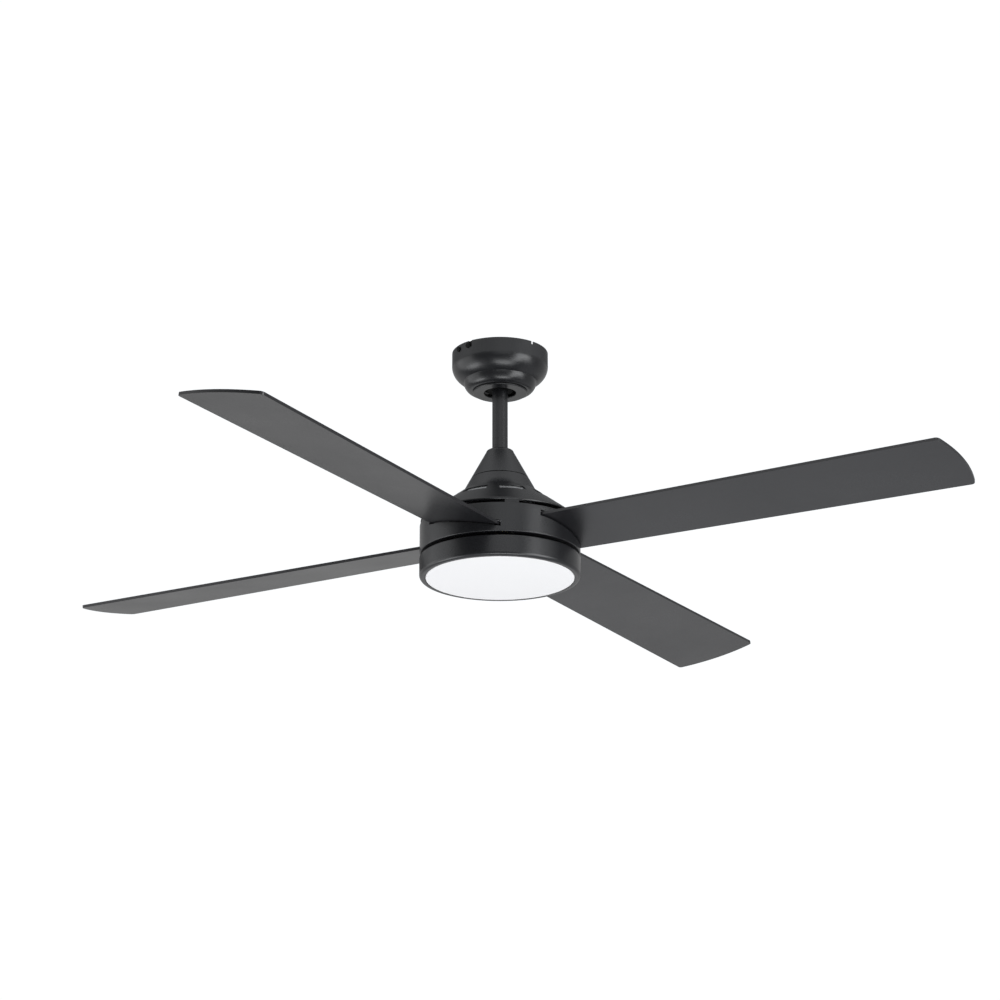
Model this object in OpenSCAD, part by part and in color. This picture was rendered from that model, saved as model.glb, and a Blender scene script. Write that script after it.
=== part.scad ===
// Ceiling fan with a flat light: four pitched blades, slotted drum housing, short downrod.
// Millimetres. +Z is up and the origin is the middle of the ceiling plane, so all of it hangs
// below z = 0. Every z value below is a depth under the ceiling written as a negative number.

/* [Blades] */
// Diameter swept by the blade tips
sweep_d = 1320; // [1220:10:1420]
// Blade width at the tip end
blade_tip_w = 123.1; // [110:0.1:130]
// Blade width at the drum end
blade_root_w = 107; // [95:0.5:112]
// Thickness of a blade
blade_t = 4; // [3.5:0.1:4.5]
// Pitch of the blades, leading edge low
blade_pitch = 10; // [8:0.5:11]
// Height of the bow of the tip edge
tip_bow = 9.4; // [6:0.1:12]
// Radius of the two tip corners
tip_corner_r = 6; // [3:0.5:10]
// Depth of the blade plane
blade_z = -267.1; // [-267.6:0.1:-266.6]

/* [Canopy] */
// Outside radius of the canopy rim
canopy_r = 65.2; // [64.8:0.1:66]
// Sheet thickness of the canopy
canopy_wall = 1.2; // [1:0.1:1.5]
// Depth where the straight rim ends and the bowl starts
canopy_rim_z = -18.9; // [-19.5:0.1:-18]
// Turn of the hanger bracket, and of all that is fixed to it, about Z
bracket_turn = 72; // [0:1:359]

/* [Downrod and cone] */
// Outside radius of the downrod
rod_r = 10.5; // [10:0.1:10.6]
// Top of the coupling cover
cover_top_z = -139.5; // [-141:0.5:-138]
// Depth of the running gap under the coupling cover
seam_z = -181.1; // [-182:0.1:-180]

/* [Drum housing] */
// Outside radius of the drum
drum_r = 107.4; // [107:0.1:108]
// Upper edge of the drum wall
drum_top_z = -247.8; // [-248.2:0.1:-247]
// Lower edge of the drum wall
drum_bottom_z = -287.2; // [-287.5:0.1:-287]
// Number of cooling slots round the flared top
slot_count = 8; // [6:1:9]
// Angle that one cooling slot spans
slot_angle = 31; // [20:1:34]

/* [Light] */
// Outside radius of the light ring
light_r = 107.6; // [107:0.1:108]
// Upper face of the light ring
light_top_z = -292.3; // [-292.8:0.1:-291.8]
// Underside of the light ring and of the diffuser
light_bottom_z = -320; // [-321:0.5:-318]
// Radius of the diffuser
diffuser_r = 99.3; // [98:0.1:99.4]

/* [Hidden] */
$fn = 96;
eps = 0.01;

// Finishes
black_paint = "#3a3b3d";
black_nylon = "#242527";
black_screw = "#202122";
zinc = "#b9bcbf";
steel = "#8d9196";
copper = "#b87333";
brass = "#c9a14a";

// Screw sizes shared by the small fasteners
m4_r = 2;
m4_head_r = 3.6;
m4_head_h = 2;

// Canopy: two bulging tiers, each a quarter ellipse
tier1_centre_r = 35.55;
tier1_drop = 25.3;
tier2_centre_r = 38;
tier2_centre_z = -38.5;
tier2_a = 11.8;
tier2_drop = 16;
crease_r = 49.6;
canopy_hole_r = 30;
trim_r = 37;
trim_hole_r = 21.7;
trim_z = -56.9;
canopy_screw_z = -6.2;
canopy_hole_turn = 170;
canopy_slot_turn = 186.8;
canopy_entry_turn = 189.9;
bayonet_w = 5.2;
notch_turn = 90;
canopy_in_r = canopy_r - canopy_wall;

// Hanger bracket
bracket_t = 2;
bracket_w = 36;
bracket_end_r = canopy_in_r - 0.6;
tab_drop = 15;
arm_x = 37;
arm_w = 30;
arm_t = 2.5;
cradle_plate_z = -44.5;
mount_hole_x = 44.5;
mount_hole_r = 2.75;
supply_hole_r = 13;
open_side_w = 24;

block_x = 21;
block_l = 34;
block_w = 12;
block_h = 10;
cap_size = [32, 13, 22];
cap_y = -43;
clip_w = 16;
clip_t = 1;
terminal_z = -8;

// Internal leads: a pair for the motor, then a pair for the light
lead_r = 0.9;
lead_joint_z = -16;
lead_joint_gap = 0.1;
lead_exit_z = -237.8;
lead_colors = ["#c0392b", "#e4e4e4", "#6b4a2f", "#3c6ea8"];
function lead_place(k) = [k % 2 == 0 ? -4.6 : 4.6, k < 2 ? 2.6 : -2.6];
function terminal_y(k) = (1.5 - k) * 8;

// Hanger ball, its floating liner and the cradle that carries them
ball_z = -33;
ball_r = 27;
ball_top_z = -20;
ball_bottom_z = -54;
liner_in_r = 27.3;
liner_out_r = 29;
seat_r = 29.3;
liner_top_z = -44;
liner_bottom_z = -50;
pin_z = -21.5;
pin_r = 3;
key_w = 3;
keyway_w = 6.4;
ball_screw_z = -36;
cradle_neck_r = seat_r + 1.65;

// Downrod and yoke
rod_in_r = 8.5;
rod_top_z = -12;
rod_bottom_z = -176;
collar_r = 15;
collar_top_z = -152;
collar_bottom_z = -196;
lower_pin_z = -164;
lower_pin_r = 2.5;
clip_hole_y = 17;
clip_wire_r = 0.8;
set_screw_r = 2.5;
rod_screw_z = -171;
shaft_screw_z = -188;

// Coupling cover and the steep cone under the seam share one straight slope
cone_top_r = 18.27;
cone_top_z = -141.84;
cone_foot_r = 49.4;
cone_foot_z = -199.4;
cone_slope = (cone_foot_r - cone_top_r) / (cone_top_z - cone_foot_z);
seam_gap = 1.2;
shell_t = 1.4;
grip_r = 13.5;
grip_drop = 8;

// Flared top and its lip
lip_r = 106.3;
flare_slope = 0.734;
lip_z = -243.2;
slot_in_r = 60.5;
slot_out_r = 71.5;
slot_start = 299.1;
lug_turn = 308.6;
lug_angle = 10.3;
lug_out_r = 105.2;
lug_in_r = 103.2;
lug_foot_r = 93;
lug_foot_t = 1.5;

// Motor
shaft_r = 8.5;
shaft_bore_r = 5.5;
shaft_bottom_z = -294;
bearing_out_r = 20;
bearing_w = 12;
bearing_pitch_r = 14.25;
bearing_ball_r = 3.2;
bearing_groove_r = 3.5;
bearing_balls_n = 8;
upper_bearing_z = -228;
lower_bearing_z = -276;
core_top_z = -236;
core_bottom_z = -264;
core_out_r = 80;
core_in_r = 69.5;
stator_r = 69;
stator_top_z = -240;
stator_bottom_z = -260;
stator_slots = 18;
winding_overhang = 6;
cover_top_plate_z = -203;
cover_gap = 0.6;
bottom_plate_z = -271;
cover_screw_r = 76.5;
cover_screw_n = 8;
cover_screw_turn = 22.5;

// Blade roots and brackets
blade_n = 4;
blade_root_x = 83.5;
pad_t = 3;
pad_end_x = 103;
foot_x = 56;
foot_w = 40;
blade_screw_x = 94;
blade_screw_y = 30;
foot_screw_x = 66;
foot_screw_y = 12;
blade_gap = 1.9;
blade_end_gap = 2.4;

// Drum
drum_wall = 2;
drum_flange_t = 1.5;
drum_flange_r = 62;
standoff_r = 4;
standoff_place_r = 70;
lug_screw_r = 98;

// Light kit
mount_plate_z = -284;
mount_plate_r = 50;
mount_leg_r = 40;
nut_h = 5;
pan_top_t = 1.5;
pan_edge_r = 4.6;
pan_in_r = 105.9;
pan_lip_r = 99.8;
pan_shelf_z = -313;
board_z = -303;
board_t = 1.6;
board_r = 85;
board_post_r = 65;
post_turn = bracket_turn + 45;
leg_turn = bracket_turn + 90;

// ---- shared shapes ----------------------------------------------------------------------

// Points along an ellipse arc, angles measured from +X
function arc(cx, cy, rx, ry, a0, a1, n) =
    [for (i = [0:n]) let (a = a0 + (a1 - a0) * i / n) [cx + rx * cos(a), cy + ry * sin(a)]];

// Turned part from half its section
module turned(points) {
    rotate_extrude() polygon(points);
}

// Ring or disc between two depths
module ring(r_out, r_in, z_high, z_low) {
    rotate_extrude() translate([r_in, z_low]) square([r_out - r_in, z_high - z_low]);
}

// Upright rod between two depths
module post(r, z_high, z_low) {
    translate([0, 0, z_low]) cylinder(r = r, h = z_high - z_low);
}

// Pan head screw, head underside at the origin, shank pointing down
module screw(shank_r, shank_l, head_r, head_h) {
    translate([0, 0, -shank_l]) cylinder(r = shank_r, h = shank_l);
    rotate_extrude() polygon([
        [0, 0], [head_r, 0], [head_r, head_h * 0.4],
        each arc(head_r * 0.55, head_h * 0.4, head_r * 0.45, head_h * 0.6, 0, 90, 5),
        [0, head_h]
    ]);
}

// Bars repeated round the Z axis
module around(n, start = 0) {
    for (i = [0:n - 1]) rotate([0, 0, start + 360 * i / n]) children();
}

// Round wire swept along a list of points
function unit(v) = v / norm(v);
function tangent(p, i) = unit(p[min(i + 1, len(p) - 1)] - p[max(i - 1, 0)]);
function side_of(t) = unit(cross(t, abs(t.x) < 0.9 ? [1, 0, 0] : [0, 1, 0]));
function wire_ring(p, i, r, n) =
    let (t = tangent(p, i), a = side_of(t), b = cross(t, a))
    [for (k = [0:n - 1]) p[i] + r * cos(360 * k / n) * a + r * sin(360 * k / n) * b];

module wire(p, r) {
    n = 8;
    last = len(p) - 1;
    points = [for (i = [0:last]) each wire_ring(p, i, r, n)];
    walls = [for (i = [0:last - 1], k = [0:n - 1])
        [i * n + k, (i + 1) * n + k, (i + 1) * n + (k + 1) % n, i * n + (k + 1) % n]];
    first_cap = [for (k = [0:n - 1]) k];
    last_cap = [for (k = [n - 1:-1:0]) last * n + k];
    polyhedron(points, concat([first_cap], walls, [last_cap]), convexity = 4);
}

// Smooth route through a few hand-set points
function bend(a, b, c, d, s) = 0.5 * ((2 * b) + (c - a) * s
    + (2 * a - 5 * b + 4 * c - d) * s * s + (3 * b - a - 3 * c + d) * s * s * s);
function route(p, per) = [
    for (i = [0:len(p) - 2], k = [0:per - 1])
        bend(p[max(i - 1, 0)], p[i], p[i + 1], p[min(i + 2, len(p) - 1)], k / per),
    p[len(p) - 1]
];

// ---- ceiling side -----------------------------------------------------------------------

module hanger_bracket() {
    tab_w = bracket_w - 2;
    color(black_paint) rotate([0, 0, bracket_turn]) difference() {
        union() {
            intersection() {
                post(bracket_end_r, 0, -bracket_t);
                translate([-70, -bracket_w / 2, -bracket_t]) cube([140, bracket_w, bracket_t]);
            }
            intersection() {
                ring(bracket_end_r, bracket_end_r - bracket_t, -bracket_t, -tab_drop);
                translate([-70, -tab_w / 2, -tab_drop]) cube([140, tab_w, tab_drop]);
            }
            for (side = [-1, 1])
                translate([side * (arm_x + arm_t / 2), 0, (cradle_plate_z - bracket_t) / 2])
                    cube([arm_t, arm_w, -cradle_plate_z - bracket_t + 2 * eps], center = true);
            post(arm_x + arm_t, cradle_plate_z, cradle_plate_z - arm_t);
        }
        post(supply_hole_r, 1, -bracket_t - 1);
        for (side = [-1, 1])
            translate([side * mount_hole_x, 0, 0]) post(mount_hole_r, 1, -bracket_t - 1);
        post(cradle_neck_r, cradle_plate_z + 1, cradle_plate_z - arm_t - 1);
        translate([-open_side_w / 2, 0, cradle_plate_z - arm_t - 1])
            cube([open_side_w, arm_x + 5, arm_t + 2]);
        for (turn = [0, 180], a = [canopy_hole_turn, canopy_slot_turn])
            rotate([0, 0, a + turn]) translate([bracket_end_r - 5, 0, canopy_screw_z])
                rotate([0, 90, 0]) cylinder(r = m4_r, h = 10);
        translate([0, bracket_w / 2 - 3.5, 0]) post(1.6, 1, -bracket_t - 1);
    }
}

module ball_cradle() {
    color(black_paint) rotate([0, 0, bracket_turn]) {
        difference() {
            union() {
                ring(34, 20, cradle_plate_z + 2.5, cradle_plate_z);
                ring(cradle_neck_r, 20, cradle_plate_z, cradle_plate_z - 6);
            }
            translate([0, 0, ball_z]) sphere(r = seat_r);
            translate([-open_side_w / 2, 0, -60]) cube([open_side_w, 45, 40]);
        }
        // Key that stops the ball turning about the rod
        translate([-33.5, -key_w / 2, cradle_plate_z + 2.5 - eps]) cube([3.6, key_w, 7]);
        translate([-33.5, -key_w / 2, -38]) cube([8.7, key_w, 3]);
    }
}

// Half section of the canopy sheet, outside then inside
function canopy_section() = let (
    a1 = canopy_r - tier1_centre_r,
    i1 = a1 - canopy_wall,
    i2 = tier2_a - canopy_wall,
    in_crease = crease_r - canopy_wall * 0.92
) concat(
    [[canopy_r, 0]],
    arc(tier1_centre_r, canopy_rim_z, a1, -tier1_drop, 0, acos((crease_r - tier1_centre_r) / a1), 18),
    arc(tier2_centre_r, tier2_centre_z, tier2_a, -tier2_drop,
        acos((crease_r - tier2_centre_r) / tier2_a), 90, 12),
    [[canopy_hole_r, tier2_centre_z - tier2_drop]],
    [[canopy_hole_r, tier2_centre_z - tier2_drop + canopy_wall]],
    arc(tier2_centre_r, tier2_centre_z, i2, canopy_wall - tier2_drop, 90,
        acos((in_crease - tier2_centre_r) / i2), 12),
    arc(tier1_centre_r, canopy_rim_z, i1, canopy_wall - tier1_drop,
        acos((in_crease - tier1_centre_r) / i1), 0, 18),
    [[canopy_in_r, 0]]
);

// Bayonet slot seen from outside: a round-ended leg to the screw and a way in from the rim
function bayonet_outline() = let (
    h = bayonet_w / 2,
    reach = canopy_r * sin(canopy_entry_turn - canopy_slot_turn)
) concat(
    arc(0, 0, h, h, 90, 270, 10),
    [[reach + h, -h], [reach + h, 3 * h], [reach - h, 3 * h], [reach - h, h]]
);

module canopy() {
    color(black_paint) rotate([0, 0, bracket_turn]) difference() {
        turned(canopy_section());
        for (turn = [0, 180]) rotate([0, 0, turn]) {
            rotate([0, 0, canopy_hole_turn]) translate([canopy_r - 5, 0, canopy_screw_z])
                rotate([0, 90, 0]) cylinder(r = m4_r + 0.3, h = 10);
            rotate([0, 0, canopy_slot_turn]) translate([canopy_r - 5, 0, canopy_screw_z])
                rotate([90, 0, 90]) linear_extrude(10) polygon(bayonet_outline());
            // locating notch in the rim
            rotate([0, 0, notch_turn]) translate([canopy_r - 5, -1.5, -4]) cube([10, 3, 5]);
        }
    }
}

module canopy_trim_plate() {
    z0 = tier2_centre_z - tier2_drop;
    color(black_paint) turned([
        [trim_hole_r, z0], [trim_r - 0.8, z0], [trim_r, z0 - 0.6], [trim_r, trim_z + 0.7],
        [trim_r - 0.8, trim_z], [trim_hole_r + 0.6, trim_z], [trim_hole_r, trim_z + 0.6]
    ]);
}

module canopy_screws() {
    gap = canopy_r - bracket_end_r;
    color(black_screw) rotate([0, 0, bracket_turn])
        for (turn = [0, 180], a = [canopy_hole_turn, canopy_slot_turn])
            rotate([0, 0, a + turn]) translate([canopy_r + 0.1, 0, canopy_screw_z])
                rotate([0, 90, 0]) screw(m4_r, gap + bracket_t + 1, m4_head_r, 2.2);
}

module terminal_block() {
    color("#e8e6df") rotate([0, 0, bracket_turn]) difference() {
        translate([block_x, -block_l / 2, -bracket_t - block_h])
            cube([block_w, block_l, block_h]);
        for (k = [0:3]) translate([block_x - 1, terminal_y(k), terminal_z])
            rotate([0, 90, 0]) cylinder(r = lead_r, h = 9);
        for (k = [0:3])
            translate([block_x + block_w / 2, terminal_y(k), -bracket_t - block_h - 1])
                cylinder(r = 1.6, h = 4);
    }
}

module terminal_screws() {
    color(brass) rotate([0, 0, bracket_turn]) for (k = [0:3])
        translate([block_x + block_w / 2, terminal_y(k), -bracket_t - block_h + 0.5])
            cylinder(r = 1.6, h = 2.5);
}

module earth_screw() {
    color("#4f9a57") rotate([0, 0, bracket_turn])
        translate([0, bracket_w / 2 - 3.5, -bracket_t]) rotate([180, 0, 0])
            screw(1.6, bracket_t, 3, 1.8);
}

module run_capacitor() {
    color("#2f3134") rotate([0, 0, bracket_turn])
        translate([-cap_size.x / 2, cap_y, -bracket_t - 3 - cap_size.z]) cube(cap_size);
}

// Sheet strap screwed under the bracket, open on the side of the ball
module capacitor_clip() {
    low_z = -bracket_t - 3 - cap_size.z - clip_t;
    out_y = cap_y - clip_t;
    color(zinc) rotate([0, 0, bracket_turn]) translate([-clip_w / 2, out_y, 0]) union() {
        translate([0, 0, -bracket_t - clip_t]) cube([clip_w, 28, clip_t]);
        translate([0, 0, low_z]) cube([clip_w, clip_t, -bracket_t - low_z]);
        translate([0, 0, low_z]) cube([clip_w, cap_size.y + clip_t, clip_t]);
    }
}

// Four leads from the terminal block into the top of the rod, slack enough for the ball to tilt
module swivel_leads() {
    rotate([0, 0, bracket_turn]) for (k = [0:3]) let (p = lead_place(k), y = terminal_y(k))
        color(lead_colors[k]) wire(route([[block_x, y, terminal_z], [block_x - 3, y, terminal_z],
            [12, 0.6 * y, -6.5], [p.x + 3.6, 0.3 * y + 0.4 * p.y, -7.4], [p.x, p.y, -11.5],
            [p.x, p.y, lead_joint_z]], 4), lead_r);
}

// ---- ball joint -------------------------------------------------------------------------

module ball_seat_liner() {
    color(black_nylon) intersection() {
        post(32, liner_top_z, liner_bottom_z);
        translate([0, 0, ball_z]) difference() {
            sphere(r = liner_out_r);
            sphere(r = liner_in_r);
        }
    }
}

module hanger_ball() {
    color(black_nylon) rotate([0, 0, bracket_turn]) difference() {
        intersection() {
            translate([0, 0, ball_z]) sphere(r = ball_r);
            post(ball_r + 1, ball_top_z, ball_bottom_z);
        }
        post(rod_r, 0, -60);
        // open groove for the cross pin
        translate([0, 0, pin_z]) rotate([90, 0, 0])
            cylinder(r = pin_r, h = 80, center = true);
        translate([-pin_r, -40, pin_z]) cube([2 * pin_r, 80, 10]);
        // keyway for the cradle's key
        translate([-40, -keyway_w / 2, -60]) cube([40 - ball_r + 5.5, keyway_w, 50]);
        translate([rod_r - 1, 0, ball_screw_z]) rotate([0, 90, 0])
            cylinder(r = set_screw_r, h = 30);
    }
}

module ball_cross_pin() {
    color(steel) rotate([0, 0, bracket_turn]) translate([0, 0, pin_z]) rotate([90, 0, 0])
        cylinder(r = pin_r, h = 40, center = true);
}

module ball_set_screw() {
    color(steel) rotate([0, 0, bracket_turn]) translate([rod_r, 0, ball_screw_z])
        rotate([0, 90, 0]) difference() {
            cylinder(r = set_screw_r, h = 13);
            translate([0, 0, 10]) cylinder(r = 1.3, h = 4, $fn = 6);
        }
}

// ---- what hangs from the ball -----------------------------------------------------------

module downrod() {
    color(black_paint) difference() {
        ring(rod_r, rod_in_r, rod_top_z, rod_bottom_z);
        rotate([0, 0, bracket_turn]) {
            translate([0, 0, pin_z]) rotate([90, 0, 0])
                cylinder(r = pin_r, h = 40, center = true);
            translate([0, 0, lower_pin_z]) rotate([90, 0, 0])
                cylinder(r = lower_pin_r, h = 40, center = true);
        }
    }
}

module rod_lower_pin() {
    color(steel) rotate([0, 0, bracket_turn]) translate([0, 0, lower_pin_z])
        rotate([90, 0, 0]) difference() {
            union() {
                translate([0, 0, -18]) cylinder(r = lower_pin_r, h = 37);
                translate([0, 0, -20]) cylinder(r = 4, h = 2);
            }
            translate([0, -5, clip_hole_y]) rotate([-90, 0, 0])
                cylinder(r = clip_wire_r + 0.1, h = 10);
        }
}

// Spring clip: one leg through the pin, the other round the outside of it
module rod_pin_clip() {
    loop_r = 2;
    color(steel) rotate([0, 0, bracket_turn])
        translate([0, -clip_hole_y, lower_pin_z - 8]) {
            cylinder(r = clip_wire_r, h = 13);
            translate([-2 * loop_r, 0, 0]) cylinder(r = clip_wire_r, h = 11);
            translate([-loop_r, 0, 0]) rotate([90, 0, 0]) rotate([0, 0, 180])
                rotate_extrude(angle = 180, $fn = 32) translate([loop_r, 0])
                    circle(r = clip_wire_r, $fn = 16);
        }
}

module yoke_collar() {
    color(zinc) difference() {
        ring(collar_r, shaft_r, collar_top_z, collar_bottom_z);
        post(rod_r, 0, rod_bottom_z);
        rotate([0, 0, bracket_turn]) translate([0, 0, lower_pin_z]) rotate([90, 0, 0])
            cylinder(r = lower_pin_r, h = 40, center = true);
        around(2, bracket_turn) {
            translate([rod_r - 1, 0, rod_screw_z]) rotate([0, 90, 0])
                cylinder(r = set_screw_r, h = 10);
            translate([shaft_r - 1, 0, shaft_screw_z]) rotate([0, 90, 0])
                cylinder(r = set_screw_r, h = 12);
        }
    }
}

module yoke_set_screws() {
    color(steel) around(2, bracket_turn) {
        translate([rod_r, 0, rod_screw_z]) rotate([0, 90, 0])
            cylinder(r = set_screw_r, h = 6.5);
        translate([shaft_r, 0, shaft_screw_z]) rotate([0, 90, 0])
            cylinder(r = set_screw_r, h = 8.5);
    }
}

// Radius of the outer cone surface at a depth
function cone_r(z) = cone_top_r + (cone_top_z - z) * cone_slope;

module coupling_cover() {
    z1 = seam_z + seam_gap / 2;
    wall = shell_t / cos(atan(cone_slope));
    neck_z = cover_top_z - grip_drop;
    round_h = 3;
    round_w = cone_r(cover_top_z - round_h) - grip_r - 0.6;
    color(black_paint) turned([
        [grip_r, cover_top_z],
        each arc(grip_r + 0.6, cover_top_z - round_h, round_w, round_h, 80, 8, 6),
        [cone_r(cover_top_z - round_h - 0.4), cover_top_z - round_h - 0.4],
        [cone_r(z1), z1], [cone_r(z1) - wall, z1],
        [cone_r(neck_z - round_h) - wall, neck_z - round_h], [grip_r, neck_z]
    ]);
}

module cover_grip_ring() {
    color("#1b1b1c") ring(grip_r, rod_r, cover_top_z - 1, cover_top_z - grip_drop);
}

module motor_shaft() {
    color(steel) difference() {
        ring(shaft_r, shaft_bore_r, rod_bottom_z, shaft_bottom_z);
        rotate([0, 0, bracket_turn]) translate([0, 0, lead_exit_z]) rotate([-90, 0, 0])
            cylinder(r = 2, h = 20);
    }
}

module shaft_circlips() {
    color(steel) {
        ring(shaft_r + 2.6, shaft_r, upper_bearing_z + bearing_w / 2 + 1.2,
            upper_bearing_z + bearing_w / 2);
        ring(shaft_r + 2.6, shaft_r, lower_bearing_z - bearing_w / 2,
            lower_bearing_z - bearing_w / 2 - 1.2);
    }
}

// One winding slot of the stator, wide at the rim and narrow near the hub
module slot_outline(grow) {
    polygon([[36 - grow, -2.2 - grow], [62 + grow, -6.2 - grow], [62 + grow, 6.2 + grow],
        [36 - grow, 2.2 + grow]]);
}

module stator_core() {
    color("#7d8085") translate([0, 0, stator_bottom_z])
        linear_extrude(stator_top_z - stator_bottom_z) difference() {
            circle(r = stator_r);
            circle(r = shaft_r);
            around(stator_slots) slot_outline(0);
            around(stator_slots) translate([60, -1.2]) square([12, 2.4]);
        }
}

module stator_windings() {
    color(copper) {
        translate([0, 0, stator_bottom_z]) linear_extrude(stator_top_z - stator_bottom_z)
            around(stator_slots) slot_outline(-0.4);
        for (z = [stator_top_z, stator_bottom_z - winding_overhang])
            translate([0, 0, z]) difference() {
                cylinder(r = 61, h = winding_overhang);
                translate([0, 0, -1]) cylinder(r = 37, h = winding_overhang + 2);
            }
    }
}

// Two leads down the rod and out through the side of the shaft to the windings
module motor_leads() {
    rotate([0, 0, bracket_turn]) for (k = [0, 1]) let (p = lead_place(k), x = sign(p.x))
        color(lead_colors[k]) wire(route([[p.x, p.y, lead_joint_z - lead_joint_gap], [p.x, p.y, -100],
            [p.x, p.y, -168], [x * 2.6, 2.6, -178], [x * 1.3, 2.4, -225], [x * 1.1, 2.4, -234.4],
            [x * 0.98, 4.1, lead_exit_z + 0.3], [x * 0.98, 7.5, lead_exit_z],
            [x * 0.98, 20, lead_exit_z], [x * 0.98, 37, lead_exit_z]], 4), lead_r);
}

// Two leads down the rod and the hollow shaft to the driver of the light
module light_leads() {
    rotate([0, 0, bracket_turn]) for (k = [2, 3]) let (p = lead_place(k), x = sign(p.x))
        color(lead_colors[k]) wire(route([[p.x, p.y, lead_joint_z - lead_joint_gap], [p.x, p.y, -100],
            [p.x, p.y, -168], [x * 2.6, -2.6, -178], [x * 1.6, -2.6, -280],
            [x * 1.6, -2.8, -292], [x * 2, -6, -297], [x * 4, -18, -298], [x * 6, -32, -298]],
            4), lead_r);
}

// ---- bearings ---------------------------------------------------------------------------

module at_bearings() {
    translate([0, 0, upper_bearing_z]) children();
    translate([0, 0, lower_bearing_z]) children();
}

module bearing_inner_rings() {
    color(steel) at_bearings() rotate_extrude() difference() {
        translate([shaft_r, -bearing_w / 2]) square([3, bearing_w]);
        translate([bearing_pitch_r, 0]) circle(r = bearing_groove_r);
    }
}

module bearing_outer_rings() {
    color(steel) at_bearings() rotate_extrude() difference() {
        translate([bearing_out_r - 3, -bearing_w / 2]) square([3, bearing_w]);
        translate([bearing_pitch_r, 0]) circle(r = bearing_groove_r);
    }
}

module bearing_balls() {
    color("#c9ccd0") at_bearings() around(bearing_balls_n)
        translate([bearing_pitch_r, 0, 0]) sphere(r = bearing_ball_r);
}

module bearing_cages() {
    color(brass) at_bearings() difference() {
        rotate_extrude() translate([12.7, -1.5]) square([3.1, 6.1]);
        around(bearing_balls_n) translate([bearing_pitch_r, 0, 0])
            sphere(r = bearing_ball_r + 0.02);
    }
}

// ---- rotor ------------------------------------------------------------------------------

module rotor_core() {
    color("#7d8085") difference() {
        ring(core_out_r, core_in_r, core_top_z, core_bottom_z);
        around(cover_screw_n, cover_screw_turn) translate([cover_screw_r, 0, 0])
            post(m4_r, core_top_z + 1, core_bottom_z - 1);
    }
}

// Depth of the outer surface of the flared top at a radius
function flare_z(r) = cone_foot_z - (r - cone_foot_r) * flare_slope;

module rotor_top_cover() {
    below = (shell_t + cover_gap) * sqrt(1 + flare_slope * flare_slope);
    shoulder_r = cone_foot_r + 1.6;
    t = 3.5;
    step_z = upper_bearing_z + bearing_w / 2;
    color(zinc) difference() {
        turned([
            [18, cover_top_plate_z], [shoulder_r, flare_z(shoulder_r) - below],
            [core_out_r, flare_z(core_out_r) - below], [core_out_r, core_top_z],
            [core_out_r - 7, core_top_z],
            [core_out_r - 7, flare_z(core_out_r - 7) - below - t - 1],
            [shoulder_r - 2, cover_top_plate_z - t], [25, cover_top_plate_z - t],
            [25, step_z - bearing_w], [bearing_out_r, step_z - bearing_w],
            [bearing_out_r, step_z], [18, step_z]
        ]);
        around(cover_screw_n, cover_screw_turn) translate([cover_screw_r, 0, 0])
            post(m4_r, core_top_z + 7, core_top_z - 1);
    }
}

module rotor_bottom_cover() {
    plate_t = 2.5;
    hub_z = lower_bearing_z - bearing_w / 2;
    color(zinc) difference() {
        turned([
            [core_out_r, core_bottom_z], [core_out_r, bottom_plate_z], [25, bottom_plate_z],
            [25, hub_z], [bearing_out_r, hub_z], [bearing_out_r, bottom_plate_z + plate_t],
            [core_out_r - 8, bottom_plate_z + plate_t], [core_out_r - 8, core_bottom_z]
        ]);
        around(cover_screw_n, cover_screw_turn) translate([cover_screw_r, 0, 0])
            post(m4_r, core_bottom_z + 1, bottom_plate_z - 1);
        around(blade_n) for (s = [-1, 1]) translate([foot_screw_x, s * foot_screw_y, 0])
            post(m4_r, core_bottom_z, bottom_plate_z - 1);
    }
}

module rotor_cover_screws() {
    reach = core_top_z - bottom_plate_z + 6;
    color(steel) around(cover_screw_n, cover_screw_turn)
        translate([cover_screw_r, 0, bottom_plate_z]) rotate([180, 0, 0])
            screw(m4_r, reach, m4_head_r - 0.4, m4_head_h);
}

// ---- blades and their brackets ----------------------------------------------------------

// Half width of a blade at a distance from the axis
function half_w(x) = let (reach = sweep_d / 2) (blade_root_w
    + (blade_tip_w - blade_root_w) * (x - 150) / (reach - 150)) / 2;

// Blade outline: straight flanks, two corner arcs and a bowed tip
function blade_outline() = let (
    reach = sweep_d / 2,
    flank = atan((blade_tip_w - blade_root_w) / 2 / (reach - 150)),
    bow_r = (pow(blade_tip_w / 2, 2) + tip_bow * tip_bow) / (2 * tip_bow),
    bow_x = reach - bow_r,
    corner_y = half_w(reach - tip_bow - tip_corner_r) - tip_corner_r,
    corner_x = bow_x + sqrt(pow(bow_r - tip_corner_r, 2) - corner_y * corner_y),
    meet = atan2(corner_y, corner_x - bow_x)
) concat(
    [[blade_root_x, -half_w(blade_root_x)]],
    arc(corner_x, -corner_y, tip_corner_r, tip_corner_r, -90 - flank, -meet, 6),
    arc(bow_x, 0, bow_r, bow_r, -meet, meet, 24),
    arc(corner_x, corner_y, tip_corner_r, tip_corner_r, meet, 90 + flank, 6),
    [[blade_root_x, half_w(blade_root_x)]]
);

// Puts a part drawn flat at the origin onto the pitched plane of blade number i
module on_blade(i) {
    rotate([0, 0, 360 * (i - 1) / blade_n]) translate([0, 0, blade_z])
        rotate([-blade_pitch, 0, 0]) children();
}

module blade(i) {
    color("#33363a") on_blade(i) difference() {
        translate([0, 0, -blade_t / 2]) linear_extrude(blade_t) polygon(blade_outline());
        for (k = [-1, 0, 1]) translate([blade_screw_x, k * blade_screw_y, 0])
            post(m4_r, blade_t, -blade_t);
    }
}

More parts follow.
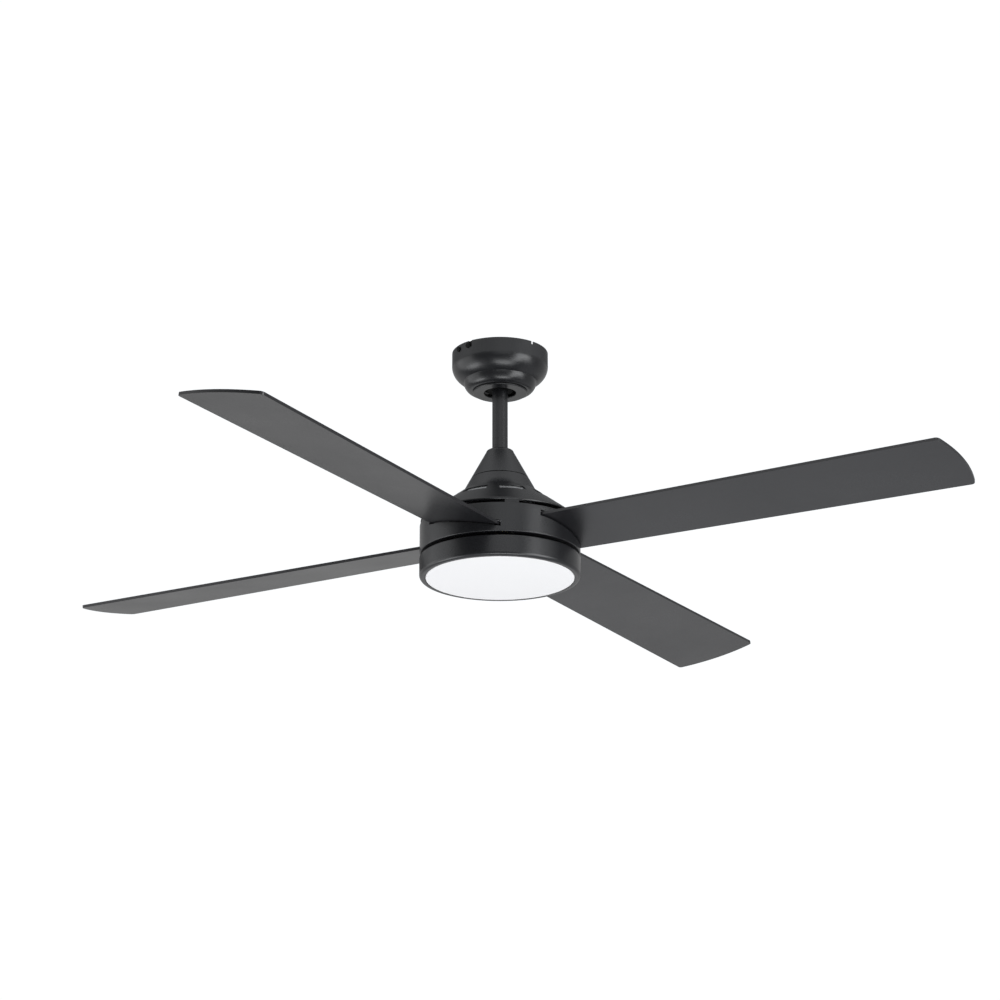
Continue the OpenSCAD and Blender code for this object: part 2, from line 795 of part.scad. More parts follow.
module blade_bracket(i) {
    block_x = core_out_r + 0.4;
    block_l = blade_root_x - 0.3 - block_x;
    pad_w = 92;
    color(black_paint) difference() {
        union() {
            intersection() {
                post(drum_r - drum_wall - 0.9, drum_top_z, drum_bottom_z);
                on_blade(i) translate([block_x, -pad_w / 2, -blade_t / 2 - pad_t])
                    cube([pad_end_x - block_x, pad_w, pad_t]);
            }
            rotate([0, 0, 360 * (i - 1) / blade_n]) {
                translate([foot_x, -foot_w / 2, bottom_plate_z - pad_t])
                    cube([blade_root_x - foot_x, foot_w, pad_t]);
                translate([block_x, -foot_w / 2, bottom_plate_z - pad_t])
                    cube([block_l, foot_w, 7]);
            }
        }
        on_blade(i) for (k = [-1, 0, 1]) translate([blade_screw_x, k * blade_screw_y, 0])
            post(m4_r, blade_t, -blade_t - 10);
        rotate([0, 0, 360 * (i - 1) / blade_n]) for (s = [-1, 1])
            translate([foot_screw_x, s * foot_screw_y, 0])
                post(m4_r, bottom_plate_z + 1, bottom_plate_z - 10);
    }
}

module bracket_screws() {
    color(steel) around(blade_n) for (s = [-1, 1])
        translate([foot_screw_x, s * foot_screw_y, bottom_plate_z - pad_t])
            rotate([180, 0, 0]) screw(m4_r, pad_t + 2.5, m4_head_r, m4_head_h);
}

module blade_screws() {
    color(steel) for (i = [1:blade_n], k = [-1, 0, 1])
        on_blade(i) translate([blade_screw_x, k * blade_screw_y, blade_t / 2])
            screw(m4_r, blade_t + pad_t, 4.4, m4_head_h);
}

// ---- housing ----------------------------------------------------------------------------

module top_housing() {
    z0 = seam_z - seam_gap / 2;
    steep_wall = shell_t / cos(atan(cone_slope));
    drop = shell_t * sqrt(1 + flare_slope * flare_slope);
    edge_r = 1.5;
    edge_x = lip_r - edge_r;
    in_foot_r = cone_foot_r - 1.05;
    foot_z = drum_bottom_z + drum_flange_t;
    color(black_paint) {
        difference() {
            turned([
                [cone_r(z0), z0], [cone_foot_r, cone_foot_z],
                [edge_x - 0.2, flare_z(edge_x - 0.2)],
                each arc(edge_x, flare_z(edge_x) - edge_r * 0.75, edge_r, edge_r, 54, 0, 4),
                each arc(edge_x, lip_z + edge_r, edge_r, edge_r, 0, -90, 4),
                [edge_x - 1.2, lip_z],
                [edge_x - 1.2, flare_z(edge_x - 1.2) - drop],
                [in_foot_r, flare_z(in_foot_r) - drop], [cone_r(z0) - steep_wall, z0]
            ]);
            around(slot_count, slot_start) rotate_extrude(angle = slot_angle)
                translate([slot_in_r, -240]) square([slot_out_r - slot_in_r, 60]);
        }
        // four lugs that carry the drum, each with a foot on the drum floor
        difference() {
            around(4, lug_turn - lug_angle / 2) rotate_extrude(angle = lug_angle) polygon([
                [lug_out_r, flare_z(lug_out_r) - 1], [lug_out_r, foot_z], [lug_foot_r, foot_z],
                [lug_foot_r, foot_z + lug_foot_t], [lug_in_r, foot_z + lug_foot_t],
                [lug_in_r, flare_z(lug_in_r) - 1]
            ]);
            around(4, lug_turn) translate([lug_screw_r, 0, 0])
                post(m4_r, foot_z + lug_foot_t + 1, foot_z - 1);
        }
    }
}

module drum_shell() {
    in_r = drum_r - drum_wall;
    floor_z = drum_bottom_z + drum_flange_t;
    color(black_paint) difference() {
        turned([
            [in_r, drum_top_z], [drum_r - 0.6, drum_top_z], [drum_r, drum_top_z - 0.6],
            each arc(drum_r - 1.2, drum_bottom_z + 1.2, 1.2, 1.2, 0, -90, 4),
            [drum_flange_r, drum_bottom_z], [drum_flange_r, floor_z], [in_r, floor_z]
        ]);
        for (i = [1:blade_n]) on_blade(i)
            translate([blade_root_x, -half_w(drum_r) - blade_end_gap, -blade_t / 2 - blade_gap])
                cube([40, 2 * half_w(drum_r) + 2 * blade_end_gap, blade_t + 2 * blade_gap]);
        around(4, 45) translate([standoff_place_r, 0, 0])
            post(m4_r, floor_z + 1, drum_bottom_z - 1);
        around(4, lug_turn) translate([lug_screw_r, 0, 0])
            post(m4_r, floor_z + 1, drum_bottom_z - 1);
    }
}

module drum_standoffs() {
    floor_z = drum_bottom_z + drum_flange_t;
    color(brass) around(4, 45) translate([standoff_place_r, 0, 0]) difference() {
        post(standoff_r, bottom_plate_z, floor_z);
        post(m4_r, floor_z + 6, floor_z - 1);
    }
}

module drum_screws() {
    color(black_screw) {
        around(4, 45) translate([standoff_place_r, 0, drum_bottom_z]) rotate([180, 0, 0])
            screw(m4_r, drum_flange_t + 6, m4_head_r, 1.8);
        around(4, lug_turn) translate([lug_screw_r, 0, drum_bottom_z]) rotate([180, 0, 0])
            screw(m4_r, drum_flange_t + lug_foot_t, m4_head_r, 1.8);
    }
}

// ---- light kit --------------------------------------------------------------------------

module light_mount_plate() {
    color(black_paint) difference() {
        union() {
            ring(mount_plate_r, shaft_r, mount_plate_z, mount_plate_z - 2);
            around(3, leg_turn) translate([mount_leg_r, 0, 0])
                post(4, mount_plate_z - 1, light_top_z);
        }
        around(3, leg_turn) translate([mount_leg_r, 0, 0])
            post(m4_r, light_top_z + 5, light_top_z - 1);
    }
}

module shaft_nut() {
    color(brass) translate([0, 0, mount_plate_z - 2 - nut_h]) difference() {
        cylinder(r = 13, h = nut_h, $fn = 6);
        translate([0, 0, -1]) cylinder(r = shaft_r, h = nut_h + 2);
    }
}

module light_pan() {
    color(black_paint) difference() {
        turned([
            [16, light_top_z],
            each arc(light_r - 1.2, light_top_z - 1.2, 1.2, 1.2, 90, 0, 4),
            each arc(light_r - pan_edge_r, light_bottom_z + pan_edge_r, pan_edge_r, pan_edge_r,
                0, -90, 8),
            [pan_lip_r, light_bottom_z], [pan_lip_r, pan_shelf_z], [pan_in_r, pan_shelf_z],
            [pan_in_r, light_top_z - pan_top_t], [16, light_top_z - pan_top_t]
        ]);
        around(3, leg_turn) translate([mount_leg_r, 0, 0])
            post(m4_r, light_top_z + 1, light_top_z - pan_top_t - 1);
    }
}

module light_screws() {
    color(steel) around(3, leg_turn) translate([mount_leg_r, 0, light_top_z - pan_top_t])
        rotate([180, 0, 0]) screw(m4_r, pan_top_t + 5, m4_head_r, m4_head_h);
}

module led_driver() {
    h = light_top_z - pan_top_t - board_z - 1;
    color("#f0efe9") rotate([0, 0, bracket_turn]) translate([-29, -60, board_z + 1])
        cube([58, 28, h]);
}

module led_board() {
    color("#f4f4f0") difference() {
        ring(board_r, 0, board_z, board_z - board_t);
        around(4, post_turn) translate([board_post_r, 0, 0]) post(1.5, board_z + 1, board_z - board_t - 1);
    }
}

module board_standoffs() {
    color(brass) around(4, post_turn) translate([board_post_r, 0, 0]) difference() {
        post(3, light_top_z - pan_top_t, board_z);
        post(1.5, board_z + 4, board_z - 1);
    }
}

module board_screws() {
    color(steel) around(4, post_turn) translate([board_post_r, 0, board_z - board_t])
        rotate([180, 0, 0]) screw(1.5, board_t + 4, 2.8, 1.5);
}

// Three rings of chips under the board
module led_chips() {
    chip = 3;
    color("#f3e27a") for (row = [[24, 10], [50, 20], [76, 30]])
        around(row[1], 6) translate([row[0] - chip / 2, -chip / 2, board_z - board_t - 0.7])
            cube([chip, chip, 0.7]);
}

module diffuser() {
    skirt_t = 1.8;
    tab_z = pan_shelf_z + 0.5;
    color("white") {
        turned([
            [0, light_bottom_z], [diffuser_r - 0.8, light_bottom_z],
            [diffuser_r, light_bottom_z + 0.8], [diffuser_r, tab_z + 3],
            [diffuser_r - skirt_t, tab_z + 3], [diffuser_r - skirt_t, light_bottom_z + skirt_t],
            [0, light_bottom_z + skirt_t]
        ]);
        around(3, 20) rotate_extrude(angle = 14)
            translate([diffuser_r - 0.5, tab_z]) square([4, 3]);
    }
}

hanger_bracket();
ball_cradle();
canopy();
canopy_trim_plate();
canopy_screws();
terminal_block();
terminal_screws();
earth_screw();
run_capacitor();
capacitor_clip();
swivel_leads();
ball_seat_liner();
hanger_ball();
ball_cross_pin();
ball_set_screw();
downrod();
rod_lower_pin();
rod_pin_clip();
yoke_collar();
yoke_set_screws();
coupling_cover();
cover_grip_ring();
motor_shaft();
shaft_circlips();
stator_core();
stator_windings();
motor_leads();
light_leads();
bearing_inner_rings();
bearing_balls();
bearing_cages();
bearing_outer_rings();
rotor_core();
rotor_top_cover();
rotor_bottom_cover();
rotor_cover_screws();
blade_bracket(1);  // blade_bracket_1
blade_bracket(2);  // blade_bracket_2
blade_bracket(3);  // blade_bracket_3
blade_bracket(4);  // blade_bracket_4
bracket_screws();
blade(1);  // blade_1
blade(2);  // blade_2
blade(3);  // blade_3
blade(4);  // blade_4
blade_screws();
top_housing();
drum_shell();
drum_standoffs();
drum_screws();
light_mount_plate();
shaft_nut();
light_pan();
light_screws();
led_driver();
led_board();
board_standoffs();
led_chips();
board_screws();
diffuser();
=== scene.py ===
import bmesh
import bpy
import numpy as np
from mathutils import Matrix


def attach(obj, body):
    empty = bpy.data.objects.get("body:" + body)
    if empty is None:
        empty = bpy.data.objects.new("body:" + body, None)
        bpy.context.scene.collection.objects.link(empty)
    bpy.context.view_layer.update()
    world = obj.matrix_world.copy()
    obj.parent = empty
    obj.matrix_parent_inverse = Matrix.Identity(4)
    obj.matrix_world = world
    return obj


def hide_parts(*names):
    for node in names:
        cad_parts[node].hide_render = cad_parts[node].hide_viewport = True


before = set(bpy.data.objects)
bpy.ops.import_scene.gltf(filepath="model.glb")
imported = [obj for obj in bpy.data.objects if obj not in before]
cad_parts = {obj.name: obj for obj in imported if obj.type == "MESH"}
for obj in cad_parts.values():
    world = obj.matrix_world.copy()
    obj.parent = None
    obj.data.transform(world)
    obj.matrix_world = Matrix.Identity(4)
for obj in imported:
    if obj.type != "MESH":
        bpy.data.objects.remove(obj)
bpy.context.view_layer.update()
scene = bpy.context.scene


# ---- Camera ------------------------------------------------------------------------------
# Low and a long way off, looking up at the underside of the blades through a long lens.
def camera_at(place, forward, lens):
    """Camera whose -Z looks along forward and whose X stays level."""
    ahead = np.array(forward) / np.linalg.norm(forward)
    right = np.cross(ahead, [0, 0, 1])
    right /= np.linalg.norm(right)
    up = np.cross(right, ahead)
    data = bpy.data.cameras.new("camera")
    data.lens = lens
    data.sensor_width = 36
    data.clip_end = 100
    camera = bpy.data.objects.new("camera", data)
    turn = np.eye(4)
    turn[:3, 0], turn[:3, 1], turn[:3, 2], turn[:3, 3] = right, up, -ahead, place
    camera.matrix_world = Matrix(turn.tolist())
    scene.collection.objects.link(camera)
    return camera


scene.camera = camera_at((1.93634, -3.35384, -1.50439), (-0.47419, 0.82132, 0.31712), 109.59)


# ---- Canopy ------------------------------------------------------------------------------
# Ceiling cup in two bulging tiers, pressed from thin steel sheet and powder coated satin
# black. The rim has a bayonet slot and a notch on each of two sides.
def arc(centre_r, centre_z, r, z, start, end, steps=12):
    """Points on an ellipse round (centre_r, centre_z) with half axes r and z, start to end
    in degrees."""
    a = np.radians(np.linspace(start, end, steps + 1))
    return np.stack([centre_r + r * np.cos(a), centre_z + z * np.sin(a)], axis=1)


def section(*parts):
    """Joins points and arcs, in millimetres, into one (r, z) line."""
    return np.concatenate([np.atleast_2d(np.array(part, float)) for part in parts])


def surface(name, points, keep=None, wall=0.0, edge=0.4, body=None, node=None, slot=None,
            finish=None):
    """Sheet through a rows x columns array of points, a face between every four neighbours.

    Points, wall and edge are in millimetres. Faces where keep is False are left out, and
    points that coincide are merged, so seams and poles close. The wall then grows inwards
    from the sheet, and every sharp edge is rounded."""
    rows, columns, _ = points.shape
    index = np.arange(rows * columns).reshape(rows, columns)
    corners = [index[:-1, :-1], index[1:, :-1], index[1:, 1:], index[:-1, 1:]]
    faces = np.stack(corners, axis=-1)
    faces = faces[keep] if keep is not None else faces.reshape(-1, 4)
    mesh = bpy.data.meshes.new(name)
    mesh.from_pydata((points.reshape(-1, 3) * 0.001).tolist(), [], faces.tolist())
    work = bmesh.new()
    work.from_mesh(mesh)
    bmesh.ops.remove_doubles(work, verts=work.verts, dist=1e-7)
    loose = [v for v in work.verts if not v.link_faces]
    bmesh.ops.delete(work, geom=loose, context="VERTS")
    work.to_mesh(mesh)
    work.free()
    mesh.polygons.foreach_set("use_smooth", np.ones(len(mesh.polygons), bool))
    mesh.materials.append(finish)
    piece = bpy.data.objects.new(name, mesh)
    scene.collection.objects.link(piece)
    if wall:
        solid = piece.modifiers.new("wall", "SOLIDIFY")
        solid.thickness = wall * 0.001
        solid.offset = -1
    if edge:
        bevel = piece.modifiers.new("edges", "BEVEL")
        bevel.width = edge * 0.001
        bevel.segments = 2
        bevel.limit_method = "ANGLE"
        bevel.angle_limit = np.radians(28)
        piece.modifiers.new("shading", "WEIGHTED_NORMAL")
    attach(piece, body)
    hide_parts(node)
    return piece


def turned(name, line, windows=(), steps=192, **rest):
    """A half section turned once round Z.

    Point (i, j) is (r_i cos a_j, r_i sin a_j, z_i). A window (from, to, high, low) leaves out
    the faces between two angles in degrees and two depths, and both angles join the a_j."""
    edges = [a % 360 for w in windows for a in w[:2]]
    angles = np.unique(np.round(np.concatenate([np.linspace(0, 360, steps + 1), edges]), 4))
    a = np.radians(angles)
    r, z = line[:, :1], line[:, 1:]
    points = np.stack([r * np.cos(a), r * np.sin(a), z + 0 * a], axis=-1)
    points[:, -1] = points[:, 0]
    mid_a = (angles[:-1] + angles[1:]) / 2
    mid_z = (z[:-1] + z[1:]) / 2
    keep = np.ones((len(line) - 1, len(angles) - 1), bool)
    for start, end, high, low in windows:
        inside = (mid_a - start) % 360 < (end - start)
        keep &= ~((mid_z < high) & (mid_z > low) & inside)
    return surface(name, points, keep, **rest)


def coat(name, tone, rough, metal=0.0, shine=0.5, grain=700.0, fleck=0.12, peel=0.05):
    """Procedural finish. Fine noise varies the tone and the gloss, broad noise adds handling
    marks to the gloss, and a third noise is the texture of the surface itself."""
    made = bpy.data.materials.new(name)
    made.use_nodes = True
    nodes, links = made.node_tree.nodes, made.node_tree.links
    shader = nodes["Principled BSDF"]
    place = nodes.new("ShaderNodeTexCoord").outputs["Object"]

    def noise(scale, detail):
        made_noise = nodes.new("ShaderNodeTexNoise")
        made_noise.inputs["Scale"].default_value = scale
        made_noise.inputs["Detail"].default_value = detail
        links.new(place, made_noise.inputs["Vector"])
        return made_noise.outputs["Fac"]

    def spread(value, low, high):
        span = nodes.new("ShaderNodeMapRange")
        span.inputs["From Min"].default_value = 0.3
        span.inputs["From Max"].default_value = 0.7
        span.inputs["To Min"].default_value = low
        span.inputs["To Max"].default_value = high
        links.new(value, span.inputs["Value"])
        return span.outputs["Result"]

    blend = nodes.new("ShaderNodeMix")
    blend.data_type = "RGBA"
    blend.inputs["A"].default_value = (*[c * (1 - fleck) for c in tone], 1)
    blend.inputs["B"].default_value = (*[c * (1 + fleck) for c in tone], 1)
    links.new(noise(grain, 3), blend.inputs["Factor"])
    links.new(blend.outputs["Result"], shader.inputs["Base Color"])
    sum_rough = nodes.new("ShaderNodeMath")
    links.new(spread(noise(grain * 0.6, 2), rough - 0.03, rough + 0.03), sum_rough.inputs[0])
    links.new(spread(noise(9, 4), -0.03, 0.03), sum_rough.inputs[1])
    links.new(sum_rough.outputs[0], shader.inputs["Roughness"])
    texture = nodes.new("ShaderNodeBump")
    texture.inputs["Strength"].default_value = peel
    texture.inputs["Distance"].default_value = 0.0002
    links.new(noise(grain * 1.3, 2), texture.inputs["Height"])
    links.new(texture.outputs["Normal"], shader.inputs["Normal"])
    shader.inputs["Metallic"].default_value = metal
    shader.inputs["Specular IOR Level"].default_value = shine
    return made


canopy_r, rim_z, mouth_r, mouth_z = 65.2, -18.9, 30, -54.5
tier_1 = dict(centre_r=35.55, centre_z=rim_z, r=canopy_r - 35.55, z=-25.3)
tier_2 = dict(centre_r=38, centre_z=-38.5, r=11.8, z=-16)
satin_black = coat("satin black powder coat", (0.008, 0.0083, 0.0095), 0.3, grain=1100)
canopy_turn, leg_turn, entry_turn, notch_turn = 72, 186.8, 189.9, 90
slot_half, notch_half = np.degrees(2.6 / canopy_r), np.degrees(1.5 / canopy_r)
leg_top, leg_bottom, notch_top, above_rim = -3.6, -8.8, -4, 1
rim_cuts = []
for half_turn in (0, 180):
    leg, entry, notch = np.array([leg_turn, entry_turn, notch_turn]) + canopy_turn + half_turn
    rim_cuts += [
        (leg - slot_half, entry + slot_half, leg_top, leg_bottom),
        (entry - slot_half, entry + slot_half, above_rim, leg_bottom),
        (notch - notch_half, notch + notch_half, above_rim, notch_top),
    ]
turned(
    "canopy",
    section(
        [(canopy_r, 0), (canopy_r, leg_top), (canopy_r, notch_top), (canopy_r, leg_bottom)],
        arc(**tier_1, start=0, end=61.7, steps=28),
        arc(**tier_2, start=10.6, end=90, steps=20),
        (mouth_r, mouth_z),
    ),
    windows=rim_cuts, wall=1.2, edge=0.3,
    body="ceiling_mount", node="canopy", slot="black_metal", finish=satin_black,
)

# ---- Canopy trim plate and screws --------------------------------------------------------
# Turned steel ring that closes the canopy's mouth, coated like the canopy, and four dull
# black screws through the rim. The drum's screws have the same finish.
trim_bore, trim_r, trim_foot = 21.7, 37, -56.9
turned(
    "canopy_trim_plate",
    section((trim_bore, mouth_z), (trim_r - 0.8, mouth_z), (trim_r, mouth_z - 0.6),
            (trim_r, trim_foot + 0.7), (trim_r - 0.8, trim_foot), (trim_bore + 0.6, trim_foot),
            (trim_bore, trim_foot + 0.6), (trim_bore, mouth_z)),
    edge=0.2, body="ceiling_mount", node="canopy_trim_plate", slot="black_metal",
    finish=satin_black,
)


def dress(finish, *names):
    """Gives CAD nodes their finish, in every one of their material slots."""
    for name in names:
        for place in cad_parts[name].material_slots:
            place.material = finish


dress(coat("black oxide screws", (0.003, 0.003, 0.003), 0.55, shine=0.12, peel=0.02),
      "canopy_screws", "drum_screws")

# ---- Hanger bracket, cradle and capacitor clip -------------------------------------------
# Bent and pressed steel sheet that holds the ball, painted dull black like the plate that
# holds the light, and a zinc plated strap that holds the capacitor.
dress(coat("dull black paint", (0.005, 0.005, 0.005), 0.6, shine=0.2), "hanger_bracket",
      "ball_cradle", "light_mount_plate")
dress(coat("zinc plating", (0.55, 0.56, 0.57), 0.34, metal=1, fleck=0.2, grain=260),
      "capacitor_clip")

# ---- Wiring in the canopy ----------------------------------------------------------------
# Moulded nylon terminal block with brass screws, a green earth screw, the run capacitor in
# its black case, and soft insulated leads. The same brass makes the nut and the standoffs.
dress(coat("white terminal moulding", (0.78, 0.77, 0.72), 0.45), "terminal_block")
dress(coat("brass", (0.62, 0.44, 0.18), 0.3, metal=1, fleck=0.1), "terminal_screws",
      "bearing_cages", "shaft_nut", "drum_standoffs", "board_standoffs")
dress(coat("green earth screw", (0.10, 0.34, 0.13), 0.35, metal=0.6), "earth_screw")
dress(coat("black capacitor case", (0.020, 0.021, 0.023), 0.5), "run_capacitor")
dress(coat("lead insulation", (0.46, 0.10, 0.07), 0.4, fleck=0.05, peel=0.02),
      "swivel_leads", "motor_leads", "light_leads")

# ---- Ball joint --------------------------------------------------------------------------
# Moulded black nylon ball in a floating liner, with a steel cross pin and set screw. The
# yoke and the motor covers are cast aluminium, and the bearings and inner screws are steel.
cast_aluminium = coat("cast aluminium", (0.72, 0.73, 0.74), 0.42, metal=1, grain=420,
                      fleck=0.16, peel=0.25)
bright_steel = coat("bright steel", (0.42, 0.43, 0.44), 0.28, metal=1, fleck=0.08)
dress(coat("black nylon", (0.003, 0.003, 0.003), 0.7, shine=0.08, grain=300), "hanger_ball",
      "ball_seat_liner")
dress(cast_aluminium, "yoke_collar", "rotor_top_cover", "rotor_bottom_cover")
dress(bright_steel, "ball_cross_pin", "ball_set_screw", "rod_lower_pin", "rod_pin_clip",
      "yoke_set_screws", "motor_shaft", "shaft_circlips", "bearing_inner_rings",
      "bearing_balls", "bearing_outer_rings", "rotor_cover_screws", "bracket_screws",
      "blade_screws", "light_screws", "board_screws")

# ---- Downrod -----------------------------------------------------------------------------
# Steel tube, coated satin black. Its two pin holes are left out, because the ball and the
# coupling cover hide them.
rod_r, rod_bore, rod_top, rod_foot = 10.5, 8.5, -12, -176
turned(
    "downrod",
    section((rod_r, rod_top), (rod_r, -100), (rod_r, rod_foot), (rod_bore, rod_foot),
            (rod_bore, rod_top), (rod_r, rod_top)),
    steps=96, edge=0.4, body="pendant", node="downrod", slot="black_metal",
    finish=satin_black,
)

# ---- Coupling cover ----------------------------------------------------------------------
# Small spun cone that hides the yoke, held on the rod by a rubber grip ring.
cone_slope, cone_top_r, cone_top_z = 31.13 / 57.56, 18.27, -141.84
cover_mouth, cover_foot = 13.5, -180.5


def cone_r(z):
    """Radius of the straight cone that the coupling cover and the housing's neck share."""
    return cone_top_r + (cone_top_z - z) * cone_slope


turned(
    "coupling_cover",
    section((cover_mouth, -139.5), arc(14.1, -142.5, cone_r(-142.5) - 14.1, 3, 84, 8, 8),
            (cone_r(-144), -144), (cone_r(cover_foot), cover_foot)),
    steps=144, wall=1.6, edge=0.3, body="pendant", node="coupling_cover",
    slot="black_metal", finish=satin_black,
)
dress(coat("black rubber", (0.014, 0.014, 0.014), 0.75, peel=0.1), "cover_grip_ring")

# ---- Motor -------------------------------------------------------------------------------
# Stacked steel laminations round enamelled copper coils. The outer ring of laminations
# turns with the two cast covers.
laminations = coat("stacked laminations", (0.20, 0.205, 0.21), 0.4, metal=0.9, grain=500)
dress(laminations, "stator_core", "rotor_core")
dress(coat("enamelled copper", (0.55, 0.23, 0.09), 0.3, metal=0.9, grain=380, fleck=0.3,
           peel=0.4), "stator_windings")

# ---- Blade brackets ----------------------------------------------------------------------
# Bent steel plates under the blade roots, painted black.
dress(satin_black, *[f"blade_bracket_{number}" for number in range(1, 5)])

# ---- Blades ------------------------------------------------------------------------------
# Four flat moulded blades, charcoal black with a fine matt grain, wider towards the bowed
# tip, their edges rounded, each pitched with its leading edge low.
blade_root, blade_reach, blade_t, pitch = 83.5, 660, 4, np.radians(10)
blade_z = -267.1
tip_half, root_half = 123.1 / 2, 107 / 2
bow, corner = 9.4, 6


def half_width(x):
    """Half the width of a blade at a distance from the axis."""
    return root_half + (tip_half - root_half) * (x - 150) / (blade_reach - 150)


bow_r = (tip_half**2 + bow**2) / (2 * bow)
corner_y = half_width(blade_reach - bow - corner) - corner
corner_x = blade_reach - bow_r + np.sqrt((bow_r - corner) ** 2 - corner_y**2)
meet = np.arctan2(corner_y, corner_x - blade_reach + bow_r)
round_a, bow_a = np.linspace(np.pi / 2, meet, 9)[:-1], np.linspace(meet, 0, 21)
tip_x = np.concatenate([corner_x + corner * np.cos(round_a),
                        blade_reach - bow_r + bow_r * np.cos(bow_a)])
tip_y = np.concatenate([corner_y + corner * np.sin(round_a), bow_r * np.sin(bow_a)])
tip_x, tip_y = np.r_[tip_x, tip_x[-2::-1]], np.r_[tip_y, -tip_y[-2::-1]]
matt_black = coat("matt black blade moulding", (0.008, 0.008, 0.0095), 0.32, grain=1500,
                  fleck=0.1, peel=0.12)


def blade_sheet(turn):
    """Middle surface of one blade.

    Row u runs from the root to the tip, x = root + u (tip_x - root), and the width narrows
    with x. The sheet is then pitched about its own length and turned round Z."""
    u = np.linspace(0, 1, 41)[:, None]
    x = blade_root + u * (tip_x - blade_root)
    y = tip_y * half_width(x) / half_width(tip_x)
    tilted = np.stack([x, y * np.cos(pitch), blade_z - y * np.sin(pitch)], axis=-1)
    c, s = np.cos(turn), np.sin(turn)
    return tilted @ np.array([[c, s, 0], [-s, c, 0], [0, 0, 1]])


for number in range(1, 5):
    blade = surface(
        f"blade_{number}", blade_sheet(np.radians(90 * (number - 1))), wall=blade_t, edge=0,
        body="rotor", node=f"blade_{number}", slot="blade_black", finish=matt_black,
    )
    blade.modifiers["wall"].offset = 0
    rounding = blade.modifiers.new("edges", "BEVEL")
    rounding.width, rounding.segments = 0.0013, 3
    rounding.limit_method = "ANGLE"
    blade.modifiers.new("shading", "WEIGHTED_NORMAL")

# ---- Top housing -------------------------------------------------------------------------
# Spun aluminium cone that flares out over the drum, coated satin black, with eight cooling
# slots and a rolled lip, and four lugs that carry the drum.
neck_top, flare_in, flare_top, flare_fall = -181.7, 49.4, -199.4, 0.734
lip_r, lip_foot, lip_round = 104.8, -241.7, 1.5


def flare_z(r):
    """Depth of the flared top at a radius, a straight fall from the foot of the neck."""
    return flare_top - (r - flare_in) * flare_fall


slot_in, slot_out, slot_span, slot_start = 60.5, 71.5, 31, 299.1
slots = [(slot_start + 45 * k, slot_start + 45 * k + slot_span, flare_z(slot_in),
          flare_z(slot_out)) for k in range(8)]
flare_r = np.array([flare_in, 55, slot_in, 64, 68, slot_out, 80, 92, lip_r - 0.2])
turned(
    "top_housing",
    section((cone_r(neck_top), neck_top), (cone_r(-190), -190),
            np.stack([flare_r, flare_z(flare_r)], axis=1),
            arc(lip_r, flare_z(lip_r) - 1.1, lip_round, lip_round, 54, 0, 5),
            arc(lip_r, lip_foot, lip_round, lip_round, 0, -90, 6),
            (lip_r - 1.2, lip_foot - lip_round)),
    windows=slots, wall=1.4, edge=0.25, body="rotor", node="top_housing",
    slot="black_metal", finish=satin_black,
)
lug_z = np.array([-241.4, -243, -248, -285.7])[:, None]
lug_r, lug_start, lug_half = 105.2, 308.6, 5.15
for number in range(1, 5):
    lug_a = np.radians(lug_start + 90 * number + np.linspace(-lug_half, lug_half, 9))
    surface(
        f"drum_lug_{number}",
        np.stack([lug_r * np.cos(lug_a) + 0 * lug_z, lug_r * np.sin(lug_a) + 0 * lug_z,
                  lug_z + 0 * lug_a], axis=-1),
        wall=2, edge=0.3, body="rotor", node="top_housing", slot="black_metal",
        finish=satin_black,
    )

# ---- Drum --------------------------------------------------------------------------------
# Rolled aluminium band with a floor that is open in the middle, coated satin black and cut
# through where the blades pass.
drum_r, drum_top, drum_foot, drum_round, floor_bore = 107.4, -247.8, -287.2, 1.2, 62
gap, end_gap = 1.9, 2.4


def drum_wall():
    """Wall of the drum as rows that follow the blade cuts.

    At the angle a from the nearest blade the cut's middle is z = blade_z - drum_r sin(a)
    tan(pitch). Between two cuts the middle runs straight from the end of one to the start
    of the next. Two rows run above and below it, and the faces between them are left out
    within a cut."""
    cut_y = (half_width(drum_r) + end_gap) * np.cos(pitch)
    cut_a = np.degrees(np.arcsin(cut_y / drum_r))
    one = np.concatenate([np.linspace(-45, -cut_a, 9)[:-1], np.linspace(-cut_a, cut_a, 49),
                          np.linspace(cut_a, 45, 9)[1:-1]])
    swing = drum_r * np.sin(np.radians(np.clip(one, -cut_a, cut_a))) * np.tan(pitch)
    fade = np.clip((45 - np.abs(one)) / (45 - cut_a), 0, 1)
    middle = blade_z - swing * fade
    half = (blade_t / 2 + gap) / np.cos(pitch)
    angles = np.radians(np.concatenate([one + 90 * k for k in range(4)] + [[315]]))
    middle = np.append(np.tile(middle, 4), middle[0])
    cut = np.append(np.tile(np.abs(one + 1e-6) < cut_a, 4), False)
    rows_r = [drum_r - 0.5, drum_r - 0.15, drum_r, drum_r, drum_r, drum_r]
    rows_z = [drum_top + 0 * middle, drum_top - 0.15 + 0 * middle, drum_top - 0.5 + 0 * middle,
              middle + half, middle - half, drum_foot + drum_round + 0 * middle]
    corner_line = arc(drum_r - drum_round, drum_foot + drum_round, drum_round, drum_round,
                      0, -90, 5)[1:]
    for r, z in [*corner_line, (80, drum_foot), (floor_bore, drum_foot)]:
        rows_r.append(r)
        rows_z.append(z + 0 * middle)
    r, z = np.array(rows_r)[:, None], np.array(rows_z)
    points = np.stack([r * np.cos(angles), r * np.sin(angles), z], axis=-1)
    points[:, -1] = points[:, 0]
    keep = np.ones((len(rows_r) - 1, len(angles) - 1), bool)
    keep[3] = ~cut[:-1]
    return points, keep


wall_points, wall_keep = drum_wall()
surface("drum_shell", wall_points, wall_keep, wall=1.5, edge=0.3, body="rotor",
        node="drum_shell", slot="black_metal", finish=satin_black)

